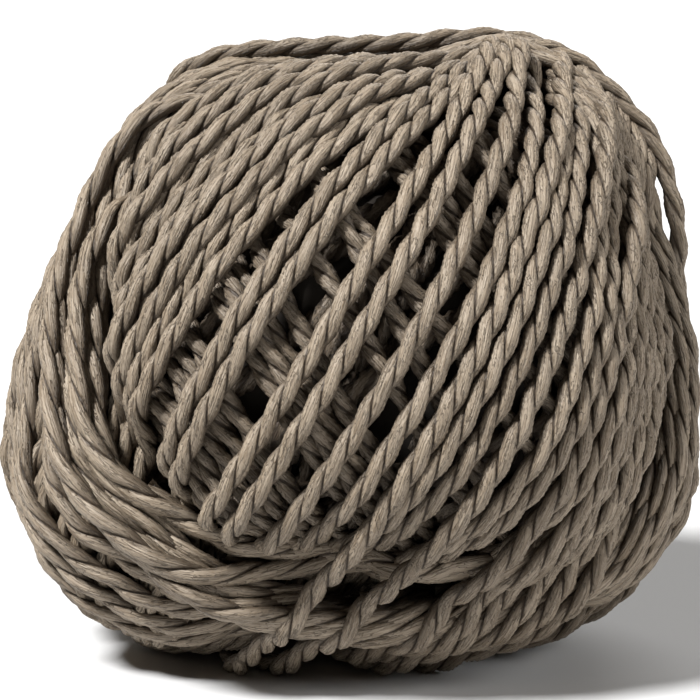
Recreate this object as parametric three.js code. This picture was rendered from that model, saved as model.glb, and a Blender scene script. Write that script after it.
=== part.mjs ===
import * as THREE from 'three';

// A ball of twisted paper yarn, about the size of a fist, standing on a small flat spot.
// Millimetres, +Z up, front towards -Y. One solid: the wound form with its main turns as ridges.
//
// The winding is laid out in a front frame (x right, y up, z to the front) whose z axis
// points at a viewer FRONT_LIFT above the table. Directions on the ball are unit vectors in it.

const MEAN_RADIUS = 45.7;
const FRONT_LIFT = 10;

// The flat spot that the ball stands on, under its weight. Round it the surface eases back
// to its own form over a rim. Three points of its edge reach a hair lower, so it can't rock.
const FLAT = { below: 39, x: -0.5, y: 0, radius: 15.5, rim: 9 };
const FEET = { angles: [90, 210, 330], drop: 0.03 };

// The front outline swells and flattens around the circle: each row adds
// share x cos(lobes x (angle - at)), with angles in degrees from the right, turning up.
const OUTLINE = [
  { lobes: 2, share: 0.054, at: 21.7 },
  { lobes: 3, share: 0.038, at: -39.7 },
  { lobes: 4, share: 0.046, at: 43.1 },
  { lobes: 5, share: 0.017, at: -23.5 },
];

// Most turns pass close to the two ends of the winding axis. Longitude turns about it, 0 at the
// front and rising towards the lower right. Around is the angle from the axis' upper end.
const AXIS = new THREE.Vector3(0.6, 0.8, 0);
const FRONT = new THREE.Vector3(0, 0, 1);
const ACROSS = new THREE.Vector3().crossVectors(AXIS, FRONT);

// Longitudes of the turns that cross the front, in the uneven steps in which they lie.
const FRONT_TURNS = [
  -62, -56, -50.5, -45.5, -38.5, -33.5, -28.5, -21, -17, -7.5, -2.5, 5, 11, 15.5, 19.5, 23.5,
  28, 33, 37.5, 41.5, 45.5, 49.5, 53.5, 58, 63,
];
const HIDDEN_TURNS = 41;

// How a turn departs from a half circle between the ends of the axis: lean tips its plane
// towards the upper end, and aside moves the plane off the ball's middle, both in degrees.
const LIE = [
  { longitude: -62, lean: -1, aside: -5 },
  { longitude: -28, lean: 1, aside: -4 },
  { longitude: -10, lean: 5, aside: -8 },
  { longitude: 6, lean: 6, aside: -6 },
  { longitude: 16, lean: 8, aside: 3 },
  { longitude: 30, lean: 8, aside: 7 },
  { longitude: 45, lean: 9, aside: 11 },
  { longitude: 63, lean: 9, aside: 12 },
  { longitude: 125, lean: 2, aside: 5 },
  { longitude: 200, lean: -4, aside: -2 },
  { longitude: 298, lean: -1, aside: -5 },
];
const TWIST_END = 26;

// The band of turns laid round the rim of the front, over the older turns and under the
// newest ones. Each row is a ridge of two turns in the plane normal . direction = offset.
const BAND = [
  { normal: [0.32, 0.31, 0.89], offset: 0.26 },
  { normal: [0.19, 0.30, 0.93], offset: 0.30 },
  { normal: [0.08, 0.27, 0.96], offset: 0.28 },
  { normal: [0.0, 0.24, 0.97], offset: 0.23 },
  { normal: [-0.06, 0.2, 0.98], offset: 0.14 },
  { normal: [0.06, 0.30, 0.95], offset: 0.45 },
];
const BAND_HEIGHT = 3.2;
const BAND_HALF_WIDTH = 3.6;
const BAND_CARRY = 0.9;

// The band's own ridges show only at the lower left. Elsewhere newer turns lie over it.
const BAND_SHOWS = { fromLongitude: -110, toLongitude: 12, fromAround: 82, edge: 8 };

// Two slack turns, at the right and on top, that stand a little off the rest. Each rises to
// its height at the middle and comes down at its reach from there, in degrees.
const SLACK_TURNS = [
  { normal: [-0.36, -0.02, 0.93], offset: -0.02, middle: [0.93, 0.37, 0.1], reach: 34, height: 4.2 },
  { normal: [-0.05, -0.45, 0.89], offset: -0.42, middle: [-0.12, 0.99, 0.1], reach: 24, height: 2.8 },
];
const SLACK_HALF_WIDTH = 5;

// Relief of the turns, and the pile where they cross at the ends of the axis.
const INSET = 0.3;
const RELIEF = { share: 0.42, least: 0.7, most: 2.2 };
const END_RING = { angle: 13, width: 7, lift: 1.3 };
const END_HOLLOW = { width: 6, depth: 1.6 };

const COARSE_ROWS = 16;
const FINE_ROWS = 24;
const FINE_FROM = 96;
const FIRST_ROW = 6;
const LAST_ROW = 173;

const radians = THREE.MathUtils.degToRad;
const clamp = THREE.MathUtils.clamp;
const lerp = THREE.MathUtils.lerp;
const smoothstep = THREE.MathUtils.smoothstep;

function bell(distance, width) {
  return Math.exp(-((distance / width) ** 2));
}

function formRadius(direction) {
  const rim = Math.hypot(direction.x, direction.y);
  const angle = Math.atan2(direction.y, direction.x);
  let swell = 1;
  for (const { lobes, share, at } of OUTLINE) {
    swell += share * Math.cos(lobes * (angle - radians(at))) * rim ** lobes;
  }
  return MEAN_RADIUS * swell;
}

function lieAt(longitude) {
  const first = LIE[0].longitude;
  const turned = THREE.MathUtils.euclideanModulo(longitude - first, 360) + first;
  const next = LIE.findIndex((row) => row.longitude > turned);
  const [low, high] = [LIE[next - 1], LIE[next]];
  const part = (turned - low.longitude) / (high.longitude - low.longitude);
  return { lean: lerp(low.lean, high.lean, part), aside: lerp(low.aside, high.aside, part) };
}

// Longitude of a turn at an angle around from the upper end, near its plane's true course.
function courseLongitude(longitude, around) {
  const { lean, aside } = lieAt(longitude);
  const kept = radians(clamp(around, TWIST_END, 180 - TWIST_END));
  return longitude + aside * (1 / Math.sin(kept) - 1) - lean / Math.tan(kept);
}

function directionAt(longitude, around) {
  const [turn, fall] = [radians(longitude), radians(around)];
  return new THREE.Vector3()
    .addScaledVector(AXIS, Math.cos(fall))
    .addScaledVector(FRONT, Math.sin(fall) * Math.cos(turn))
    .addScaledVector(ACROSS, Math.sin(fall) * Math.sin(turn));
}

function planeDistance(direction, normal, offset) {
  const unit = new THREE.Vector3(...normal).normalize();
  return (Math.asin(clamp(direction.dot(unit), -1, 1)) - Math.asin(offset)) * MEAN_RADIUS;
}

function bandHeight(direction) {
  let height = 0;
  for (const { normal, offset } of BAND) {
    const across = planeDistance(direction, normal, offset) / BAND_HALF_WIDTH;
    height = Math.max(height, BAND_HEIGHT * (1 - across * across));
  }
  return height;
}

function slackHeight(direction) {
  let height = 0;
  for (const { normal, offset, middle, reach, height: most } of SLACK_TURNS) {
    const across = Math.abs(planeDistance(direction, normal, offset)) / SLACK_HALF_WIDTH;
    const along = direction.angleTo(new THREE.Vector3(...middle).normalize()) / radians(reach);
    height = Math.max(height, most * (1 - smoothstep(across, 0, 1)) * (1 - smoothstep(along, 0, 1)));
  }
  return height;
}

function endHeight(around) {
  const fromEnd = Math.min(around, 180 - around);
  return END_RING.lift * bell(fromEnd - END_RING.angle, END_RING.width)
    - END_HOLLOW.depth * bell(fromEnd, END_HOLLOW.width);
}

// The turns' columns: a crest along each turn and a valley between each pair of neighbours.
function makeColumns() {
  const crests = [...FRONT_TURNS];
  const first = FRONT_TURNS[0] + 360;
  const last = FRONT_TURNS[FRONT_TURNS.length - 1];
  const step = (first - last) / (HIDDEN_TURNS + 1);
  for (let turn = 1; turn <= HIDDEN_TURNS; turn += 1) crests.push(last + turn * step);
  return crests.flatMap((longitude, index) => {
    const following = index + 1 < crests.length ? crests[index + 1] : first;
    const gap = radians(following - longitude) * MEAN_RADIUS;
    const depth = clamp(gap * RELIEF.share, RELIEF.least, RELIEF.most);
    return [{ longitude, depth: 0 }, { longitude: (longitude + following) / 2, depth }];
  });
}

function makeRows() {
  const rows = [];
  for (let row = 0; row < COARSE_ROWS; row += 1) {
    rows.push(lerp(FIRST_ROW, FINE_FROM, row / COARSE_ROWS));
  }
  for (let row = 0; row <= FINE_ROWS; row += 1) {
    rows.push(lerp(FINE_FROM, LAST_ROW, row / FINE_ROWS));
  }
  return rows;
}

function bandShows(longitude, around) {
  const { fromLongitude, toLongitude, fromAround, edge } = BAND_SHOWS;
  const signed = THREE.MathUtils.euclideanModulo(longitude + 180, 360) - 180;
  return smoothstep(signed, fromLongitude - edge, fromLongitude)
    * (1 - smoothstep(signed, toLongitude - edge, toLongitude))
    * smoothstep(around, fromAround - edge, fromAround);
}

// The surface over the turns' lowest valleys. Older turns dip under the band where it shows,
// and newer ones ride over it.
function surfaceRadius(direction, around, longitude, depth) {
  const ridge = RELIEF.most - depth * Math.sin(radians(around));
  const band = bandHeight(direction);
  const under = Math.max(ridge, band);
  const over = ridge + Math.min(band, BAND_CARRY);
  const turns = Math.max(lerp(over, under, bandShows(longitude, around)), slackHeight(direction));
  return formRadius(direction) - INSET - RELIEF.most + turns + endHeight(around);
}

// From the front frame to the part's frame, about the ball's middle.
function stand(point) {
  const lift = radians(FRONT_LIFT);
  return new THREE.Vector3(
    point.x,
    point.y * Math.sin(lift) - point.z * Math.cos(lift),
    point.y * Math.cos(lift) + point.z * Math.sin(lift),
  );
}

// Presses the underside level within the flat spot, and lets nothing hang below it.
function restOnFlat(point) {
  if (point.z > 0) return point;
  const out = Math.hypot(point.x - FLAT.x, point.y - FLAT.y) - FLAT.radius;
  const eased = lerp(-FLAT.below, point.z, smoothstep(out, 0, FLAT.rim));
  return point.setZ(Math.max(eased, -FLAT.below));
}

function setOnFeet(points) {
  for (const angle of FEET.angles) {
    const outward = new THREE.Vector3(Math.cos(radians(angle)), Math.sin(radians(angle)), 0);
    const reach = (point) => (point.z > -FLAT.below ? -Infinity : point.dot(outward));
    const foot = points.reduce((best, point) => (reach(point) > reach(best) ? point : best));
    foot.z -= FEET.drop;
  }
}

function surfacePoint(longitude, around, depth) {
  const direction = directionAt(courseLongitude(longitude, around), around);
  const radius = surfaceRadius(direction, around, longitude, depth);
  return restOnFlat(stand(direction.multiplyScalar(radius)));
}

function makeBallGeometry() {
  const columns = makeColumns();
  const rows = makeRows();
  const points = [surfacePoint(0, 0, 0)];
  for (const around of rows) {
    for (const { longitude, depth } of columns) points.push(surfacePoint(longitude, around, depth));
  }
  points.push(surfacePoint(0, 180, 0));
  setOnFeet(points);

  const count = columns.length;
  const triangles = [];
  const at = (row, column) => 1 + row * count + (column % count);
  for (let column = 0; column < count; column += 1) {
    triangles.push(0, at(0, column), at(0, column + 1));
    triangles.push(points.length - 1, at(rows.length - 1, column + 1), at(rows.length - 1, column));
    for (let row = 0; row + 1 < rows.length; row += 1) {
      triangles.push(at(row, column), at(row + 1, column), at(row + 1, column + 1));
      triangles.push(at(row, column), at(row + 1, column + 1), at(row, column + 1));
    }
  }

  const geometry = new THREE.BufferGeometry().setFromPoints(points);
  geometry.setIndex(triangles);
  geometry.computeVertexNormals();
  return geometry;
}

// Puts the middle of the geometry's lowest side at the origin.
function standAtOrigin(geometry) {
  geometry.computeBoundingBox();
  const middle = geometry.boundingBox.getCenter(new THREE.Vector3());
  geometry.translate(-middle.x, -middle.y, -geometry.boundingBox.min.z);
  return geometry;
}

const paper = new THREE.MeshStandardMaterial({ color: 0x8f8573, roughness: 0.75, metalness: 0 });
const ball = new THREE.Mesh(standAtOrigin(makeBallGeometry()), paper);
ball.name = 'ball';

const group = new THREE.Group();
group.add(ball);

export default group;
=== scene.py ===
import math

import bpy
import numpy as np
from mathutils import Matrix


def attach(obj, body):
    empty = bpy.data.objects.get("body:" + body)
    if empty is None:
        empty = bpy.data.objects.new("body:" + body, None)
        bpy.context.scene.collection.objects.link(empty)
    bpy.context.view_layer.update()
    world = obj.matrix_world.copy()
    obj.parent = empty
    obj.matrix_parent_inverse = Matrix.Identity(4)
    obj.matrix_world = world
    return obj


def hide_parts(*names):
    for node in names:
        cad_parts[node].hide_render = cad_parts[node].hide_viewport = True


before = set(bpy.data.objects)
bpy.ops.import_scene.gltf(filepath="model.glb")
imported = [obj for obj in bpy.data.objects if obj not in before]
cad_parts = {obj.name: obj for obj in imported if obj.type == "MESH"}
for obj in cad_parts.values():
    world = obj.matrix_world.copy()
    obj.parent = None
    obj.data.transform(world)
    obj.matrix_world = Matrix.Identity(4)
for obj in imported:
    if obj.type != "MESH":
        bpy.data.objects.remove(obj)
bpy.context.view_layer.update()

# A ball of two-ply paper yarn. Its turns are laid one after another on the shaped core, each
# drawn taut over what lies under it, and become twisted strands. Lengths are in millimetres.
#
# The winding is laid out in a front frame (x right, y up, z to the front) about the ball's
# middle, whose z axis points at a viewer FRONT_LIFT above the table.

METRES = 0.001
MEAN_RADIUS = 45.7
FRONT_LIFT = math.radians(10)
MIDDLE = np.array([1.57, 0.01, 39.03])
FLAT = dict(below=39.0, x=-0.5, y=0.0, radius=15.5, rim=9.0, depth=12.0)

# The front outline swells and flattens around the circle: each row adds
# share x cos(lobes x (angle - at)), with angles in degrees from the right, turning up.
OUTLINE = [
    dict(lobes=2, share=0.054, at=21.7),
    dict(lobes=3, share=0.038, at=-39.7),
    dict(lobes=4, share=0.046, at=43.1),
    dict(lobes=5, share=0.017, at=-23.5),
]

# Most turns pass close to the two ends of the winding axis. Longitude turns about it, 0 at the
# front and rising towards the lower right. Around is the angle from the axis' upper end.
AXIS = np.array([0.6, 0.8, 0.0])
FRONT = np.array([0.0, 0.0, 1.0])
ACROSS = np.cross(AXIS, FRONT)

# The older turns of the front: the longitude where each crosses the middle, how far its plane
# tips towards the axis' upper end, and how far it lies aside of the ball's middle, in degrees.
OLD_TURNS = [
    (-62, -1, -5), (-55.5, -1, -5), (-50.3, -1, -5), (-46, -1, -5), (-38.5, -1, -5),
    (-33.7, 0, -5), (-28.5, 0, -2), (-20.5, 4.2, -4.9), (-17, 4.2, -3.3), (-7.3, 5.2, -9.5),
    (-2.4, 5.4, -7.9), (5.3, 5.8, -7.6), (11.5, 6.3, -3.9), (19, 6.9, 0), (23, 6.9, 1),
    (33.5, 5.8, -3.7), (37.5, 4.8, -3.8), (45, 5, -3),
]

# The newest turns, which pass over the band at the lower right.
NEW_TURNS = [
    (15.5, 8.4, 3.5), (28, 8.2, 6.5), (41.5, 10, 13), (49, 9, 12), (52, 9, 13), (57, 9, 14),
    (60, 9, 15), (63, 9, 16),
]

# The band laid round the rim of the front, over the old turns: each row is the plane
# normal . direction = offset.
BAND_TURNS = [
    ((0.32, 0.315, 0.89), 0.215), ((0.26, 0.305, 0.915), 0.25), ((0.19, 0.30, 0.935), 0.285),
    ((0.34, 0.32, 0.88), 0.20), ((0.30, 0.31, 0.90), 0.23), ((0.22, 0.30, 0.93), 0.27),
    ((0.16, 0.30, 0.94), 0.30), ((0.10, 0.28, 0.95), 0.29), ((0.05, 0.26, 0.96), 0.27),
    ((0.0, 0.24, 0.97), 0.24), ((-0.04, 0.22, 0.97), 0.20), ((-0.06, 0.20, 0.98), 0.15),
    ((0.07, 0.30, 0.95), 0.47), ((0.04, 0.30, 0.95), 0.42),
]

# Turns round the two sides and behind, which hardly show from the front.
SIDE_TURNS = dict(first=66.5, last=148, count=21, first_lie=(9, 16), last_lie=(0, 0))

# How many of the side turns, and of the old ones, go into the first of their two meshes.
SIDE_RIGHT_COUNT = 11
OLD_LEFT_COUNT = 9

# At the back, where the fan's turns would bunch, each swings towards an even spread between two
# longitudes, but by no more than so many degrees.
BACK_SPREAD = (120, 285)
MOST_SWING = 14

# How far backwards a direction points where a turn's swing is complete.
SWUNG_AT = 0.9

# Turns under the old ones, laid the other way: how far round the axis each is at the longitude
# MIDDLE_AT, in the bunches in which they lie.
MIDDLE_TURNS = [
    14, 19, 27, 30.5, 38, 43, 46, 52, 57.5, 61, 72, 77, 84, 93, 96, 99, 102.5, 110.5, 114.5, 118,
    122, 125, 129, 137, 141, 150, 158, 164,
]
MIDDLE_AT = -10
MIDDLE_LEAN = 21
MIDDLE_LEAN_SPREAD = 2

# The deepest turns that still show in the gaps, about an axis of their own. Their spreads are
# drawn at random: aside and offset in degrees, uneven in radians.
DEEP_TURNS = dict(count=34, axis_angle=36, aside=14, uneven=0.02, offset=3)

# Two slack turns, at the right and on top. Around its middle each stands clear of the rest, which
# dip there, and past its reach, in degrees, it goes under them.
SLACK_TURNS = [
    dict(
        normal=(-0.06, -0.03, 1.0), offset=0.03,
        middle=(0.9, 0.43, 0.1), reach=28, clear=2.2, dip=2.7,
    ),
    dict(
        normal=(-0.05, -0.45, 0.89), offset=-0.42,
        middle=(-0.12, 0.99, 0.1), reach=24, clear=0.6, dip=0.6,
    ),
]

# How many degrees past its reach a slack turn starts to go under, over how many it does so, and
# how deep it ends.
SLACK_END = dict(start=12, over=16, depth=2.6)

# How far the turns of each layer stray from their planes, in degrees.
WANDER = dict(deep=1.0, middle=0.8, side=0.5, old=0.25, band=0.25, new=0.25, slack=0.2)
SEED = 7

# The yarn as it is laid: half its width and height, how far a turn sinks in, how far it is drawn
# from where it touches to where it would be taut, and the blur along it.
YARN = dict(half_width=1.08, half_height=1.0, press=0.2, stiffness=0.88, smooth=1.0)

# Near the two ends of the axis, where the turns crowd together, they press this much flatter.
CROWD = dict(least=0.22, near=12.0, far=42.0)

# The length in which the two plies go round each other once.
PITCH = 9.8

# Height map of the winding on the six faces of a cube.
MAP_SIZE = 200

# The core starts this far under the surface that is wanted. Round by round it is mended by a share
# of what is wrong, and stays between the second depth and the third.
LAYERS_DEPTH = 5.0
DEEPEST = 8.0
LEAST_DEPTH = 2.5
ROUNDS = 6
MEND = 0.8

# The blur along a turn after it is squeezed, in steps.
SQUEEZE_BLUR = 2

# Where the turns pile up, at the two ends of the axis, the core ends no deeper than this. The
# second line says how far along the axis a direction points where that begins and is complete.
DEEPEST_AT_ENDS = 6.5
ENDS = (0.94, 0.975)

# The outer turns' tops are looked for in blocks of the map's cells, as far round as this, and
# their heights blurred by as much, in degrees.
BLOCK = 10
BLOCKS = MAP_SIZE // BLOCK
TOPS_WITHIN = 4.5
TOPS_BLUR = 4.0

# Behind, the core is raised under hollows deeper than this. The second line says how far towards
# the front a direction points where that begins to fade, and where it ends.
PIT_DEPTH = 2.0
PITS_BEHIND = (0.25, 0.5)

# The smooth surface that is laid over the turns' tops is held this far outside the outline.
SURFACE_LIFT = 0.2


def unit(vectors):
    vectors = np.asarray(vectors, float)
    return vectors / np.linalg.norm(vectors, axis=-1, keepdims=True)


def smoothstep(value, low, high):
    part = np.clip((value - low) / (high - low), 0, 1)
    return part * part * (3 - 2 * part)


def form_radius(directions):
    """The ball's outer form: how far it reaches from its middle in each direction."""
    rim = np.hypot(directions[:, 0], directions[:, 1])
    angle = np.arctan2(directions[:, 1], directions[:, 0])
    swell = np.ones(len(directions))
    for row in OUTLINE:
        lobes = row["lobes"]
        swell += row["share"] * np.cos(lobes * (angle - math.radians(row["at"]))) * rim**lobes
    return MEAN_RADIUS * swell


def swing_round(directions, angles):
    """Turns directions about the winding axis, each by its own angle."""
    along = np.outer(directions @ AXIS, AXIS)
    aside = np.cross(AXIS, directions)
    return along + np.cos(angles)[:, None] * (directions - along) + np.sin(angles)[:, None] * aside


class HeightMap:
    """How high the winding reaches in every direction, in cells on the faces of a cube."""

    def __init__(self, base):
        self.heights = base.copy()

    @staticmethod
    def cells(directions):
        size = np.abs(directions)
        face = size.argmax(axis=1)
        rows = np.arange(len(directions))
        reach = directions[rows, face]
        first = directions[rows, (face + 1) % 3] / reach
        second = directions[rows, (face + 2) % 3] / reach
        even = [np.arctan(part) * 4 / math.pi for part in (first, second)]
        place = [((part + 1) / 2 * MAP_SIZE).astype(int).clip(0, MAP_SIZE - 1) for part in even]
        side = face * 2 + (reach < 0)
        return (side * MAP_SIZE + place[0]) * MAP_SIZE + place[1]

    @staticmethod
    def cell_directions():
        middles = np.tan(((np.arange(MAP_SIZE) + 0.5) / MAP_SIZE * 2 - 1) * math.pi / 4)
        first, second = np.meshgrid(middles, middles, indexing="ij")
        sides = []
        for side in range(6):
            face, sign = side // 2, 1 - 2 * (side % 2)
            corner = np.empty((MAP_SIZE, MAP_SIZE, 3))
            corner[..., face] = sign
            corner[..., (face + 1) % 3] = first * sign
            corner[..., (face + 2) % 3] = second * sign
            sides.append(corner.reshape(-1, 3))
        return unit(np.concatenate(sides))

    def at(self, directions):
        return self.heights[self.cells(directions)]

    def raise_to(self, directions, heights):
        np.maximum.at(self.heights, self.cells(directions), heights)


STRAY_WAVES = (2, 3, 5, 8)

# Any direction that is near no turn's normal serves to start counting round the turns.
COUNT_FROM = [0.31, 0.17, 0.93]


class Turn:
    """One closed turn: the directions in a plane, and how far from the middle it lies."""

    def __init__(self, normal, offset, wander, random, slack=None, swing=0.0):
        self.normal = unit(normal)
        self.offset = math.asin(offset)
        self.first = unit(np.cross(self.normal, COUNT_FROM))
        self.second = np.cross(self.normal, self.first)
        self.waves = [
            (k, wander / k * random.normal(), random.uniform(0, 2 * math.pi)) for k in STRAY_WAVES
        ]
        self.phase = random.uniform(0, 2 * math.pi)
        self.shade = random.uniform(0, 1)
        self.slack = slack
        self.swing = swing

    def directions(self, turned):
        """The direction at each angle round the turn, and the direction across it there."""
        strays = (math.radians(size) * np.cos(k * turned + at) for k, size, at in self.waves)
        drift = self.offset + sum(strays)
        around = np.outer(np.cos(turned), self.first) + np.outer(np.sin(turned), self.second)
        rise, reach = np.sin(drift)[:, None], np.cos(drift)[:, None]
        towards, across = rise * self.normal + reach * around, reach * self.normal - rise * around
        swing = math.radians(self.swing) * smoothstep(-towards @ FRONT, 0, SWUNG_AT)
        return swing_round(towards, swing), swing_round(across, swing)


# The steps of a turn, their angles, and the places across the yarn that are felt at each.
STEPS = 600
TURNED = np.arange(STEPS) * 2 * math.pi / STEPS
ALL_ROUND = np.arange(STEPS + 1) * 2 * math.pi / STEPS
LATERAL = np.linspace(-1, 1, 9)


def read_round(values, angles):
    """Values at the steps of a turn, read at any angles round it."""
    return np.interp(angles, ALL_ROUND, np.append(values, values[0]))


def taut(turned, radius):
    """The radius of a loop drawn tight over the points given by angle and radius."""
    x, y = radius * np.cos(turned), radius * np.sin(turned)
    hull = []
    start = int(radius.argmax())
    order = np.roll(np.arange(len(turned)), -start)
    for i in [*order, start]:
        while len(hull) > 1:
            a, b = hull[-2], hull[-1]
            if (x[b] - x[a]) * (y[i] - y[a]) - (y[b] - y[a]) * (x[i] - x[a]) > 0:
                break
            hull.pop()
        hull.append(int(i))
    angles = turned[hull]
    angles = np.where(np.arange(len(angles)) > 0, (angles - angles[0]) % (2 * math.pi), 0.0)
    angles[-1] = 2 * math.pi
    here = (turned - turned[start]) % (2 * math.pi)
    slot = np.searchsorted(angles, here, side="right").clip(1, len(angles) - 1)
    low, high = angles[slot - 1], angles[slot]
    near, far = radius[hull][slot - 1], radius[hull][slot]
    span = np.sin(high - low)
    return span / (np.sin(high - here) / near + np.sin(here - low) / far)


def smooth_round(values, width):
    """Blurs values round a closed loop with a bell of a width in samples."""
    waves = np.fft.rfftfreq(len(values))
    return np.fft.irfft(np.fft.rfft(values) * np.exp(-2 * (math.pi * width * waves) ** 2), len(values))


def from_middle(slack, directions):
    """How far directions are from the middle of a slack turn, in degrees."""
    return np.degrees(np.arccos(np.clip(directions @ unit(slack["middle"]), -1, 1)))


def slackness(slack, directions):
    """1 at the middle of a slack turn, falling to 0 at its reach."""
    return 1 - smoothstep(from_middle(slack, directions), 0, slack["reach"])


def flattening(directions):
    """How thick a turn lies in each direction, as a share of its usual thickness."""
    from_end = np.degrees(np.arccos(np.clip(np.abs(directions @ AXIS), 0, 1)))
    return CROWD["least"] + (1 - CROWD["least"]) * smoothstep(from_end, CROWD["near"], CROWD["far"])


def lay(turn, heights):
    """Lays a turn on the winding so far, and raises the height map by it."""
    towards, across = turn.directions(TURNED)
    contact = np.zeros(STEPS)
    flat = flattening(towards)
    for part in LATERAL:
        shift = part * YARN["half_width"] / MEAN_RADIUS
        rise = YARN["half_height"] * flat * math.sqrt(1 - part**2)
        contact = np.maximum(contact, heights.at(unit(towards + shift * across)) + rise)
    tight = taut(TURNED, contact)
    radius = contact + (tight - contact) * YARN["stiffness"] - YARN["press"] * flat
    if turn.slack:
        radius += turn.slack["clear"] * slackness(turn.slack, towards)
        past = from_middle(turn.slack, towards) - turn.slack["reach"] - SLACK_END["start"]
        radius -= SLACK_END["depth"] * smoothstep(past, 0, SLACK_END["over"])
    turn.radius = smooth_round(radius, YARN["smooth"] * STEPS / (2 * math.pi * MEAN_RADIUS))
    fine = np.arange(2 * STEPS) * math.pi / STEPS
    fine_radius = read_round(turn.radius, fine)
    towards, across = turn.directions(fine)
    flat = flattening(towards)
    for part in LATERAL:
        shift = part * YARN["half_width"] / MEAN_RADIUS
        top = fine_radius + YARN["half_height"] * flat * math.sqrt(1 - part**2)
        heights.raise_to(unit(towards + shift * across), top)


def back_longitude(longitude, tilt, aside):
    """Where a turn of the fan crosses the back."""
    short = math.asin(math.sin(math.radians(aside)) / math.cos(math.radians(tilt)))
    return longitude + 180 - 2 * math.degrees(short)


def fan_plane(longitude, tilt, aside):
    """The plane of a turn that crosses the front at a longitude."""
    tilt, aside = math.radians(tilt), math.radians(aside)
    swing = math.radians(longitude + 90) - math.asin(math.sin(aside) / math.cos(tilt))
    level = math.cos(swing) * FRONT + math.sin(swing) * ACROSS
    return math.cos(tilt) * level + math.sin(tilt) * AXIS, math.sin(aside)


def middle_plane(around, lean):
    around, lean, at = math.radians(around), math.radians(lean), math.radians(MIDDLE_AT)
    normal = math.cos(lean) * AXIS + math.sin(lean) * ACROSS
    place = math.cos(around) * AXIS + math.sin(around) * (math.cos(at) * FRONT + math.sin(at) * ACROSS)
    return normal, float(normal @ place)


def make_deep_turns(random):
    """Turns about an axis of their own, in mixed order."""
    turns = []
    angle = math.radians(DEEP_TURNS["axis_angle"])
    axis = np.array([math.cos(angle), math.sin(angle), 0])
    level = np.cross(axis, FRONT)
    for index in random.permutation(DEEP_TURNS["count"]):
        swing = math.pi * index / DEEP_TURNS["count"] + random.normal(0, DEEP_TURNS["uneven"])
        tip = math.radians(random.normal(0, DEEP_TURNS["aside"]))
        normal = math.cos(swing) * FRONT + math.sin(swing) * level + math.sin(tip) * axis
        offset = math.sin(math.radians(random.normal(0, DEEP_TURNS["offset"])))
        turns.append(Turn(normal, offset, WANDER["deep"], random))
    return turns


def make_middle_turns(random):
    """Turns laid the other way, under the old ones."""
    turns = []
    for around in MIDDLE_TURNS:
        plane = middle_plane(around, MIDDLE_LEAN + random.normal(0, MIDDLE_LEAN_SPREAD))
        turns.append(Turn(*plane, WANDER["middle"], random))
    return turns


def make_side_rows():
    """Rows like those of the old turns, run evenly from the first side turn to the last."""
    first, last, count = (SIDE_TURNS[key] for key in ("first", "last", "count"))
    rows = []
    for index in range(count):
        part = index / (count - 1)
        lie = [a + (b - a) * part for a, b in zip(SIDE_TURNS["first_lie"], SIDE_TURNS["last_lie"])]
        rows.append((first + (last - first) * part, *lie))
    return rows


def back_swings(rows):
    """How far each turn of the fan swings at the back, by its row."""
    backs = np.array([back_longitude(*row) for row in rows])
    spread = np.empty(len(rows))
    spread[np.argsort(backs)] = np.linspace(*BACK_SPREAD, len(rows))
    return dict(zip(rows, np.clip(spread - backs, -MOST_SWING, MOST_SWING)))


def make_turns():
    """All turns by layer, in the order in which they are laid."""
    random = np.random.default_rng(SEED)
    side_rows = make_side_rows()
    swings = back_swings(side_rows + OLD_TURNS + NEW_TURNS)

    def fan(rows, layer):
        return [Turn(*fan_plane(*row), WANDER[layer], random, swing=swings[row]) for row in rows]

    return dict(
        deep=make_deep_turns(random),
        middle=make_middle_turns(random),
        side_right=fan(side_rows[:SIDE_RIGHT_COUNT], "side"),
        side_back=fan(side_rows[SIDE_RIGHT_COUNT:], "side"),
        old_left=fan(OLD_TURNS[:OLD_LEFT_COUNT], "old"),
        old_right=fan(OLD_TURNS[OLD_LEFT_COUNT:], "old"),
        band=[Turn(*row, WANDER["band"], random) for row in BAND_TURNS],
        new=fan(NEW_TURNS, "new"),
        slack=[Turn(row["normal"], row["offset"], WANDER["slack"], random, row) for row in SLACK_TURNS],
    )


def block_tops(heights):
    """The highest cell in each block of the height map."""
    return heights.reshape(6, BLOCKS, BLOCK, BLOCKS, BLOCK).max(axis=(2, 4)).ravel()


def block_means(heights):
    """The mean height of the cells in each block of the height map."""
    return heights.reshape(6, BLOCKS, BLOCK, BLOCKS, BLOCK).mean(axis=(2, 4)).ravel()


def over_cells(values):
    """Values of the blocks, run straight from middle to middle over the map's cells."""
    grid = values.reshape(6, BLOCKS, BLOCKS)
    place = (np.arange(MAP_SIZE) + 0.5) / BLOCK - 0.5
    low = place.astype(int).clip(0, BLOCKS - 2)
    part = place - low
    rows = grid[:, low] * (1 - part)[:, None] + grid[:, low + 1] * part[:, None]
    return (rows[:, :, low] * (1 - part) + rows[:, :, low + 1] * part).ravel()


def outer_surface(tops, middles):
    """A smooth surface over the tops of the outer turns."""
    closeness = middles @ middles.T
    tops = np.where(closeness > math.cos(math.radians(TOPS_WITHIN)), tops, 0).max(axis=1)
    weights = np.exp((closeness - 1) / (1 - math.cos(math.radians(TOPS_BLUR))))
    return over_cells(weights @ tops / weights.sum(axis=1))


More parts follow.
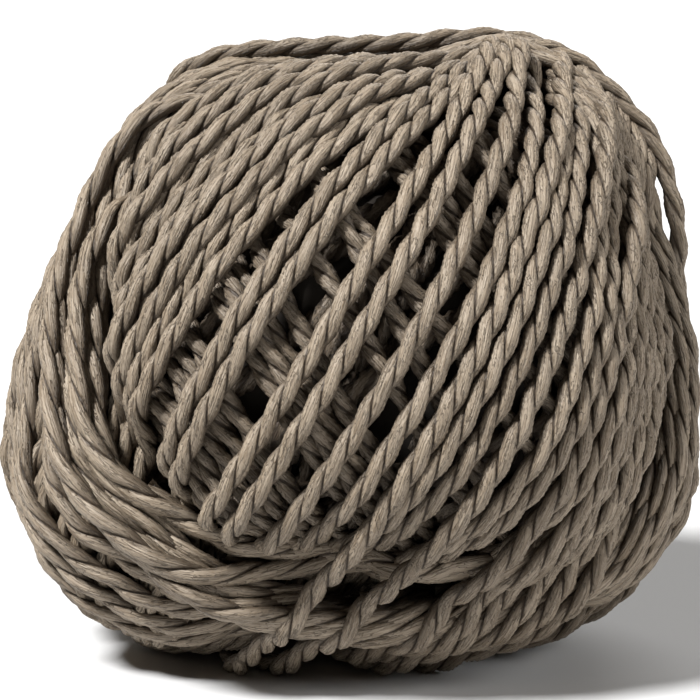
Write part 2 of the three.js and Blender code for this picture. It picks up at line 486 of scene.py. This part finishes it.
def wind(layers):
    """Lays every turn, and mends the core in rounds to bring the outer turns to the ball's form."""
    everywhere = HeightMap.cell_directions()
    in_blocks = everywhere.reshape(6, BLOCKS, BLOCK, BLOCKS, BLOCK, 3)
    middles = unit(in_blocks.mean(axis=(2, 4)).reshape(-1, 3))
    wanted = form_radius(everywhere) + SURFACE_LIFT
    for slack in SLACK_TURNS:
        wanted -= slack["dip"] * slackness(slack, everywhere)
    behind = 1 - smoothstep(middles @ FRONT, *PITS_BEHIND)
    core = wanted - LAYERS_DEPTH
    filled = np.zeros(len(core))
    for round_left in reversed(range(ROUNDS)):
        heights = HeightMap(np.minimum(core + filled, wanted - LEAST_DEPTH))
        for turns in layers.values():
            for turn in turns:
                if not turn.slack:
                    lay(turn, heights)
        reached = outer_surface(block_tops(heights.heights), middles)
        if round_left:
            core = np.maximum(core + MEND * (wanted - reached), wanted - DEEPEST)
            pits = np.maximum(block_means(wanted - heights.heights) - PIT_DEPTH, 0) * behind
            filled += MEND * over_cells(pits)
    # What still differs is squeezed in or out, the same for everything that lies in a direction.
    squeeze = wanted / reached
    heights.heights *= squeeze
    core = np.minimum(core + filled, wanted - LEAST_DEPTH) * squeeze
    at_ends = smoothstep(np.abs(everywhere @ AXIS), *ENDS)
    core += np.maximum(wanted - DEEPEST_AT_ENDS - core, 0) * at_ends
    for turns in layers.values():
        for turn in turns:
            if turn.slack:
                lay(turn, heights)
            else:
                turn.radius = turn.radius * squeeze[HeightMap.cells(turn.directions(TURNED)[0])]
                turn.radius = smooth_round(turn.radius, SQUEEZE_BLUR)
    return heights, core


def stand(points):
    """From the front frame to the part's frame, about the ball's middle."""
    x, y, z = points.T
    sine, cosine = math.sin(FRONT_LIFT), math.cos(FRONT_LIFT)
    return np.stack([x, y * sine - z * cosine, y * cosine + z * sine], axis=1)


def rest_on_flat(points):
    """Presses the points' underside level at the flat spot, less so deep inside the ball."""
    reach = np.linalg.norm(points, axis=1)
    directions = points / reach[:, None]
    form = form_radius(directions)
    outer = stand(directions * form[:, None])
    out = np.hypot(outer[:, 0] - FLAT["x"], outer[:, 1] - FLAT["y"]) - FLAT["radius"]
    eased = -FLAT["below"] + (outer[:, 2] + FLAT["below"]) * smoothstep(out, 0, FLAT["rim"])
    drop = np.where(outer[:, 2] < 0, np.maximum(eased, -FLAT["below"]) - outer[:, 2], 0)
    placed = stand(points)
    placed[:, 2] += drop * np.clip(1 - (form - reach) / FLAT["depth"], 0, 1)
    return placed


# The yarn's section: two plies pressed together into an oval, with a notch where they meet, whose
# depth is a share of the half size. The two widths, of the notch and of the painted shade in it, are
# in degrees round the section.
SECTION = dict(half_width=1.42, half_height=1.06, notch=0.44, notch_width=10.0, seam_shade_width=7.0)

# How strong the painted shade is at the bottom of the notch between the plies, before it is cut off at 1.
SEAM_SHADE_STRENGTH = 1.5

# A strand's height is this share of what its section gives.
LAID_HEIGHT = 0.97

# The section's points from one notch to the next, in degrees, by how fine a strand is.
PLY_ANGLES = dict(
    fine=(-90, -83, -72, -50, -18, 18, 50, 72, 83),
    medium=(-90, -74, -40, 0, 40, 74),
    coarse=(-90, -60, 0, 60),
)

# Painted shade: a strand's flanks and underside are painted darker than its top. The least is what is
# left of its brightness under the first height, and above the second it is all there. The heights are
# shares of half the strand's own.
FLANK_SHADE_LEAST = 0.22
FLANK_SHADE_BETWEEN = (-0.3, 0.8)

# The paper's grain runs between the plies' own direction, 0, and the yarn's, 1.
GRAIN_TURN = 0.7

# A turn's grain starts at its shade, from 0 to 1, times this many millimetres along the yarn, so
# that no two turns have the same.
GRAIN_APART = 1000

# What the strands of each layer are like: the length between their rings, how fine the section
# is, their width and height as shares, how far they lie below their turn, how bright they are
# kept under painted shade, lower for the deeper layers, and the pitch of their plies.
FINE = dict(step=0.75, grade="fine")
STRANDS = dict(
    # The deep and middle layers are painted darker, as painted shade deep inside the ball.
    deep=dict(step=1.1, grade="coarse", width=1.15, height=1.1, sunk=0.5, light=0.4),
    middle=dict(step=0.9, grade="medium", sunk=0.7, light=0.7),
    side_right=FINE,
    side_back=FINE,
    old_left=FINE,
    old_right=FINE,
    band=dict(step=0.75, grade="fine", width=1.38, height=0.95, pitch=13.0),
    new=dict(step=0.75, grade="fine", width=1.06, height=1.04),
    slack=FINE,
)

# A turn is built where its top, felt at so many places across as far as so many half widths, is
# less than this deep under the surface, and for so many millimetres past there.
SEEN = dict(places=9, half_widths=1.2, under=2.2, past=4.5)


def make_section(grade):
    """The yarn's outline across and up, from one notch round to it again."""
    angles = np.array(PLY_ANGLES[grade], float)
    from_notch = 90 - np.abs(angles)
    reach = 1 - SECTION["notch"] * np.exp(-((from_notch / SECTION["notch_width"]) ** 2))
    side = SECTION["half_width"] * reach * np.cos(np.radians(angles))
    up = SECTION["half_height"] * reach * np.sin(np.radians(angles))
    # Painted shade at the bottom of the notch between the plies.
    seam_shade = np.minimum(SEAM_SHADE_STRENGTH * np.exp(-((from_notch / SECTION["seam_shade_width"]) ** 2)), 1)
    return np.concatenate([side, -side]), np.concatenate([up, -up]), np.concatenate([seam_shade, seam_shade])


class Strands:
    """Collects twisted strands for one mesh."""

    def __init__(self, step, grade, width=1.0, height=1.0, sunk=0.0, light=1.0, pitch=PITCH):
        self.step, self.width, self.height = step, width, height
        # Light is painted shade for the whole layer: the deeper layers are painted darker.
        self.sunk, self.light, self.pitch = sunk, light, pitch
        self.section = make_section(grade)
        self.points, self.faces = [], []
        self.marks = dict(lay=[], seam_shade=[], shade=[], lift=[])
        self.count = 0

    def add(self, turn, seen):
        length = 2 * math.pi * float(turn.radius.mean()) * math.cos(turn.offset)
        rings = round(length / self.step)
        twists = round(length / self.pitch)
        turned = np.arange(rings) * 2 * math.pi / rings
        shown = read_round(seen, turned) > 0
        if not shown.any():
            return
        twist = turn.phase + 2 * math.pi * twists * turned / (2 * math.pi)
        self.add_points(turn, turned, twist)
        self.add_faces(shown)
        self.add_marks(turn, turned, twist, length)
        self.count += rings * len(self.section[0])

    def add_points(self, turn, turned, twist):
        """The rings of the section, each turned by its twist."""
        radius = read_round(turn.radius, turned)
        towards = turn.directions(turned)[0]
        middles = towards * (radius - self.sunk)[:, None]
        along = unit(np.roll(middles, -1, axis=0) - np.roll(middles, 1, axis=0))
        side = unit(np.cross(along, towards))
        up = np.cross(side, along)
        cosine, sine = np.cos(twist)[:, None], np.sin(twist)[:, None]
        sx, sy, _ = self.section
        out = (sx * cosine - sy * sine) * self.width
        rise = (sx * sine + sy * cosine) * LAID_HEIGHT * self.height
        # This mark is painted shade: flanks and underside darker than the top, and whole layers darker by
        # their light.
        above = smoothstep(rise / (SECTION["half_height"] * self.height), *FLANK_SHADE_BETWEEN)
        self.marks["lift"].append((self.light * (FLANK_SHADE_LEAST + (1 - FLANK_SHADE_LEAST) * above)).ravel())
        points = middles[:, None] + out[..., None] * side[:, None] + rise[..., None] * up[:, None]
        self.points.append(rest_on_flat(points.reshape(-1, 3)))

    def add_faces(self, shown):
        """Four-sided faces between each two neighbouring rings that show."""
        rings, k = len(shown), len(self.section[0])
        index = self.count + np.arange(rings * k).reshape(rings, k)
        beside = np.roll(index, -1, axis=1)
        following = np.roll(index, -1, axis=0)
        quads = np.stack([index, beside, np.roll(following, -1, axis=1), following], axis=-1)
        both = shown & np.roll(shown, -1)
        self.faces.append(quads[both].reshape(-1, 4))

    def add_marks(self, turn, turned, twist, length):
        """What the material needs to know at each point: grain, painted shade at the notch, and the turn's
        shade.
        """
        sx, sy, seam_shade = self.section
        rings, k = len(turned), len(seam_shade)
        grain = twist[:, None] * GRAIN_TURN
        grain_x = sx * np.cos(grain) - sy * np.sin(grain)
        grain_y = sx * np.sin(grain) + sy * np.cos(grain)
        along = np.repeat(turn.shade * GRAIN_APART + turned * length / (2 * math.pi), k)
        self.marks["lay"].append(np.stack([grain_x.ravel(), grain_y.ravel(), along], axis=1))
        self.marks["seam_shade"].append(np.tile(seam_shade, rings))
        self.marks["shade"].append(np.full(rings * k, turn.shade))

    def build(self, name, material):
        points = np.concatenate(self.points) + MIDDLE
        points[:, 2] = np.maximum(points[:, 2], 0)
        faces = np.concatenate(self.faces)
        used = np.zeros(len(points), bool)
        used[faces] = True
        renumber = np.cumsum(used) - 1
        points, faces = points[used] * METRES, renumber[faces]
        mesh = bpy.data.meshes.new(name)
        mesh.vertices.add(len(points))
        mesh.vertices.foreach_set("co", points.astype(np.float32).ravel())
        mesh.loops.add(faces.size)
        mesh.loops.foreach_set("vertex_index", faces.astype(np.int32).ravel())
        mesh.polygons.add(len(faces))
        mesh.polygons.foreach_set("loop_start", np.arange(0, faces.size, 4, dtype=np.int32))
        mesh.polygons.foreach_set("use_smooth", np.ones(len(faces), bool))
        for mark, parts in self.marks.items():
            values = np.concatenate(parts)[used].astype(np.float32)
            kind, field = ("FLOAT", "value") if values.ndim == 1 else ("FLOAT_VECTOR", "vector")
            attribute = mesh.attributes.new(mark, kind, "POINT")
            attribute.data.foreach_set(field, values.ravel())
        mesh.update()
        mesh.validate()
        return add_object(name, mesh, material)


def add_object(name, data, material=None):
    made = bpy.data.objects.new(name, data)
    bpy.context.collection.objects.link(made)
    if material:
        data.materials.append(material)
    return made


def seen_steps(turn, heights):
    """Where a turn shows: 1 at each step where its top is at the winding's surface."""
    towards, across = turn.directions(TURNED)
    shows = np.zeros(STEPS, bool)
    for part in np.linspace(-SEEN["half_widths"], SEEN["half_widths"], SEEN["places"]):
        shift = part * YARN["half_width"] / MEAN_RADIUS
        rise = YARN["half_height"] * math.sqrt(max(1 - part**2, 0))
        over = heights.at(unit(towards + shift * across)) - turn.radius - rise
        shows |= over < SEEN["under"]
    past = round(SEEN["past"] / (2 * math.pi * MEAN_RADIUS) * STEPS)
    closed = np.concatenate([shows[-past:], shows, shows[:past]]).astype(float)
    reach = np.convolve(closed, np.ones(2 * past + 1), "valid")
    return (reach > 0).astype(float)


# The paper where it is pale and where it is dark, and the darkest colour, which is painted shade in the
# notches, creases, flanks and undersides and in the deeper layers, and also dims the duller turns.
PALE, DARK, PAINTED_SHADE_AND_DIM_TONE = (0.375, 0.312, 0.238, 1), (0.115, 0.077, 0.041, 1), (0.028, 0.015, 0.005, 1)

# Painted shade: the inside of the ball, where hardly any light reaches, is coloured near-black.
INSIDE_SHADE = ((0.006, 0.004, 0.002, 1), (0.02, 0.014, 0.009, 1))
INSIDE_ROUGHNESS = 0.95
INSIDE_GRAIN = 400.0

# How fine each grain is, twice across the yarn and once along it, and how rough its noise.
GRAINS = dict(
    fibres=((5.0, 5.0, 0.14), 0.5),
    folds=((3.0, 3.0, 0.06), 0.4),
    patches=((0.4, 0.4, 0.22), 0.5),
)

# A fold is a thin line where its noise is near the middle, and the thinness says how near. Its crease
# is pressed in as a bump and darkened as painted shade.
FOLD_THINNESS = 30.0
# Painted shade: how far a fold's crease is darkened.
FOLD_SHADE_MARK = 0.6
# Painted shade: how far the notch between the plies is darkened.
SEAM_SHADE_MARK = 0.95

# The fibres and the painted shade in the notch are made crisper: each is multiplied by its contrast,
# then its start is taken off, and the rest is cut to between 0 and 1.
FIBRE_TONE = dict(contrast=2.2, start=0.6)
SEAM_SHADE_TONE = dict(contrast=3.0, start=1.0)
FIBRES_SHARE = 0.6
PATCHES_SHARE = 0.4

# A turn's brightness is the least, and more by its shade.
SHADE = dict(least=0.76, more=0.24)
RELIEF = dict(fibres=0.7, folds=0.5, depth=0.0003)
PAPER_ROUGHNESS = 0.6


def node(tree, kind, **inputs):
    made = tree.nodes.new(kind)
    for key, value in inputs.items():
        made.inputs[key.replace("_", " ")].default_value = value
    return made


def add_math(tree, operation, first, second, clamp=False):
    made = tree.nodes.new("ShaderNodeMath")
    made.operation = operation
    made.use_clamp = clamp
    for socket, value in zip(made.inputs, (first, second)):
        if isinstance(value, (int, float)):
            socket.default_value = value
        else:
            tree.links.new(value, socket)
    return made.outputs[0]


def add_attribute(tree, name, output):
    made = tree.nodes.new("ShaderNodeAttribute")
    made.attribute_name = name
    return made.outputs[output]


def add_grain(tree, name):
    """Noise drawn out along the yarn, with its own fineness across and along."""
    stretch, roughness = GRAINS[name]
    scaled = tree.nodes.new("ShaderNodeVectorMath")
    scaled.operation = "MULTIPLY"
    scaled.inputs[1].default_value = stretch
    tree.links.new(add_attribute(tree, "lay", "Vector"), scaled.inputs[0])
    noise = node(tree, "ShaderNodeTexNoise", Scale=1.0, Detail=1.0, Roughness=roughness)
    tree.links.new(scaled.outputs[0], noise.inputs["Vector"])
    return noise.outputs["Fac"]


def add_mix(tree, share, first, second):
    made = tree.nodes.new("ShaderNodeMix")
    made.data_type = "RGBA"
    for socket, value in zip((made.inputs[0], made.inputs[6], made.inputs[7]), (share, first, second)):
        if isinstance(value, tuple):
            socket.default_value = value
        else:
            tree.links.new(value, socket)
    return made.outputs[2]


def add_fold_lines(tree, folds):
    """1 on thin lines through a noise, and 0 elsewhere."""
    off_fold = add_math(tree, "ABSOLUTE", add_math(tree, "SUBTRACT", folds, 0.5), 0)
    return add_math(tree, "SUBTRACT", 1.0, add_math(tree, "MULTIPLY", off_fold, FOLD_THINNESS, clamp=True))


def add_tone(tree, fibres, patches):
    """How pale the paper is, from 0 to 1."""
    tone = add_math(tree, "MULTIPLY", fibres, FIBRE_TONE["contrast"])
    tone = add_math(tree, "SUBTRACT", tone, FIBRE_TONE["start"], clamp=True)
    fine = add_math(tree, "MULTIPLY", tone, FIBRES_SHARE)
    return add_math(tree, "ADD", fine, add_math(tree, "MULTIPLY", patches, PATCHES_SHARE))


def paper_material(name):
    material = bpy.data.materials.new(name)
    material.use_nodes = True
    tree = material.node_tree
    tree.nodes.clear()
    link = tree.links.new
    output = tree.nodes.new("ShaderNodeOutputMaterial")
    shader = node(tree, "ShaderNodeBsdfPrincipled", Roughness=PAPER_ROUGHNESS)
    link(shader.outputs["BSDF"], output.inputs["Surface"])
    fibres = add_grain(tree, "fibres")
    fold = add_fold_lines(tree, add_grain(tree, "folds"))
    colour = add_mix(tree, add_tone(tree, fibres, add_grain(tree, "patches")), DARK, PALE)
    # Painted shade: the bottom of the notch between the plies is darkened towards the darkest colour.
    seam_shade = add_math(tree, "MULTIPLY", add_attribute(tree, "seam_shade", "Fac"), SEAM_SHADE_TONE["contrast"])
    seam_shade = add_math(tree, "SUBTRACT", seam_shade, SEAM_SHADE_TONE["start"], clamp=True)
    # Painted shade in the folds' creases.
    fold_shade_marks = add_math(tree, "MULTIPLY", fold, FOLD_SHADE_MARK)
    seam_shade_marks = add_math(tree, "MULTIPLY", seam_shade, SEAM_SHADE_MARK)
    colour = add_mix(tree, add_math(tree, "MAXIMUM", fold_shade_marks, seam_shade_marks), colour, PAINTED_SHADE_AND_DIM_TONE)
    shade = add_math(tree, "MULTIPLY", add_attribute(tree, "shade", "Fac"), SHADE["more"])
    shade = add_math(tree, "ADD", shade, SHADE["least"])
    # Painted shade on the strands' flanks, undersides and deeper layers, together with each turn's own
    # tone, darkens the colour.
    lift = add_attribute(tree, "lift", "Fac")
    colour = add_mix(tree, add_math(tree, "MULTIPLY", lift, shade), PAINTED_SHADE_AND_DIM_TONE, colour)
    link(colour, shader.inputs["Base Color"])
    raised = add_math(tree, "MULTIPLY", fibres, RELIEF["fibres"])
    relief = add_math(tree, "SUBTRACT", raised, add_math(tree, "MULTIPLY", fold, RELIEF["folds"]))
    bump = node(tree, "ShaderNodeBump", Strength=1.0, Distance=RELIEF["depth"])
    link(relief, bump.inputs["Height"])
    link(bump.outputs["Normal"], shader.inputs["Normal"])
    return material


# The inside's material is painted shade: near-black with a faint noise.
def inside_shade_material(name):
    material = bpy.data.materials.new(name)
    material.use_nodes = True
    tree = material.node_tree
    shader = tree.nodes["Principled BSDF"]
    shader.inputs["Roughness"].default_value = INSIDE_ROUGHNESS
    noise = node(tree, "ShaderNodeTexNoise", Scale=INSIDE_GRAIN, Detail=3.0)
    tree.links.new(add_mix(tree, noise.outputs["Fac"], *INSIDE_SHADE), shader.inputs["Base Color"])
    return material


# The photo is square, image pixels wide. The ball's middle shows at (middle_x, middle_y) and its
# mean outline has radius_px, seen from radii_away times the ball's mean radius. The sensor's width
# is in millimetres, and the nearest and farthest distance that shows are in metres.
CAMERA = dict(image=700, middle_x=362, middle_y=360, radius_px=345, radii_away=10)
SENSOR = 36
CLIPS = (0.01, 20)


def add_camera():
    data = bpy.data.cameras.new("camera")
    camera = add_object("camera", data)
    image = CAMERA["image"]
    distance = CAMERA["radii_away"] * MEAN_RADIUS
    focal = CAMERA["radius_px"] * math.sqrt(CAMERA["radii_away"] ** 2 - 1)
    data.sensor_width = SENSOR
    data.lens = SENSOR * focal / image
    data.shift_x = -(CAMERA["middle_x"] - image / 2) / image
    data.shift_y = (CAMERA["middle_y"] - image / 2) / image
    data.clip_start, data.clip_end = CLIPS
    camera.location = (stand(np.array([[0, 0, distance]]))[0] + MIDDLE) * METRES
    camera.rotation_euler = (math.pi / 2 - FRONT_LIFT, 0, 0)
    bpy.context.scene.camera = camera


# The lamps: wide is the size of the light as it is seen, tilt its angle from straight down and
# swing its turn about the upright, all in degrees.
LAMPS = [
    dict(name="key", wide=12, strength=7.2, tilt=38, swing=-48),
    dict(name="right", wide=30, strength=1.5, tilt=60, swing=66),
    dict(name="behind", wide=40, strength=1.3, tilt=50, swing=170),
]
FLOOR = dict(size=6, colour=(0.55, 0.55, 0.55, 1), roughness=0.9)
SURROUNDINGS = dict(colour=(1, 0.84, 0.66, 1), strength=0.06)


def add_floor():
    bpy.ops.mesh.primitive_plane_add(size=FLOOR["size"], location=(0, 0, 0))
    floor = bpy.context.object
    floor.name = "floor"
    material = bpy.data.materials.new("floor")
    material.use_nodes = True
    shader = material.node_tree.nodes["Principled BSDF"]
    shader.inputs["Base Color"].default_value = FLOOR["colour"]
    shader.inputs["Roughness"].default_value = FLOOR["roughness"]
    floor.data.materials.append(material)


def add_lights():
    world = bpy.data.worlds.new("studio")
    world.use_nodes = True
    background = world.node_tree.nodes["Background"]
    background.inputs["Color"].default_value = SURROUNDINGS["colour"]
    background.inputs["Strength"].default_value = SURROUNDINGS["strength"]
    bpy.context.scene.world = world
    bpy.context.scene.view_settings.view_transform = "Standard"
    for lamp in LAMPS:
        data = bpy.data.lights.new(lamp["name"], "SUN")
        data.angle, data.energy = math.radians(lamp["wide"]), lamp["strength"]
        light = add_object(lamp["name"], data)
        light.rotation_euler = (math.radians(lamp["tilt"]), 0, math.radians(lamp["swing"]))


# The core's mesh: its columns and rows, how far its end rows are from the poles in radians, and
# how far it lies under what the turns were laid on.
CORE = dict(columns=72, rows=36, pole_gap=0.03, under=0.3)


def core_piece(core, material):
    """A smooth form just under the deepest turns, coloured near-black as painted shade for the ball's
    inside.
    """
    columns, rows = CORE["columns"], CORE["rows"]
    fall = np.linspace(CORE["pole_gap"], math.pi - CORE["pole_gap"], rows)
    swing = np.arange(columns) * 2 * math.pi / columns
    f, s = np.meshgrid(fall, swing, indexing="ij")
    directions = np.stack([np.sin(f) * np.cos(s), np.sin(f) * np.sin(s), np.cos(f)], axis=-1)
    directions = directions.reshape(-1, 3)
    reach = core[HeightMap.cells(directions)] - CORE["under"]
    points = (rest_on_flat(directions * reach[:, None]) + MIDDLE) * METRES
    faces = []
    for row in range(rows - 1):
        for column in range(columns):
            a, b = row * columns + column, row * columns + (column + 1) % columns
            faces.append((a, b, b + columns, a + columns))
    faces.append(tuple(range(columns - 1, -1, -1)))
    faces.append(tuple(range((rows - 1) * columns, rows * columns)))
    mesh = bpy.data.meshes.new("core")
    mesh.from_pydata(points.tolist(), [], [face[::-1] for face in faces])
    mesh.shade_smooth()
    return add_object("core", mesh, material)


add_camera()
layers = make_turns()
heights, core = wind(layers)
paper = paper_material("paper_yarn")
pieces = []
for name, turns in layers.items():
    strands = Strands(**STRANDS[name])
    for turn in turns:
        strands.add(turn, seen_steps(turn, heights))
    pieces.append(strands.build(name + "_turns", paper))
pieces.append(core_piece(core, inside_shade_material("inside_painted_shade")))
for piece in pieces:
    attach(piece, "root")
    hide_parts("ball")
add_floor()
add_lights()
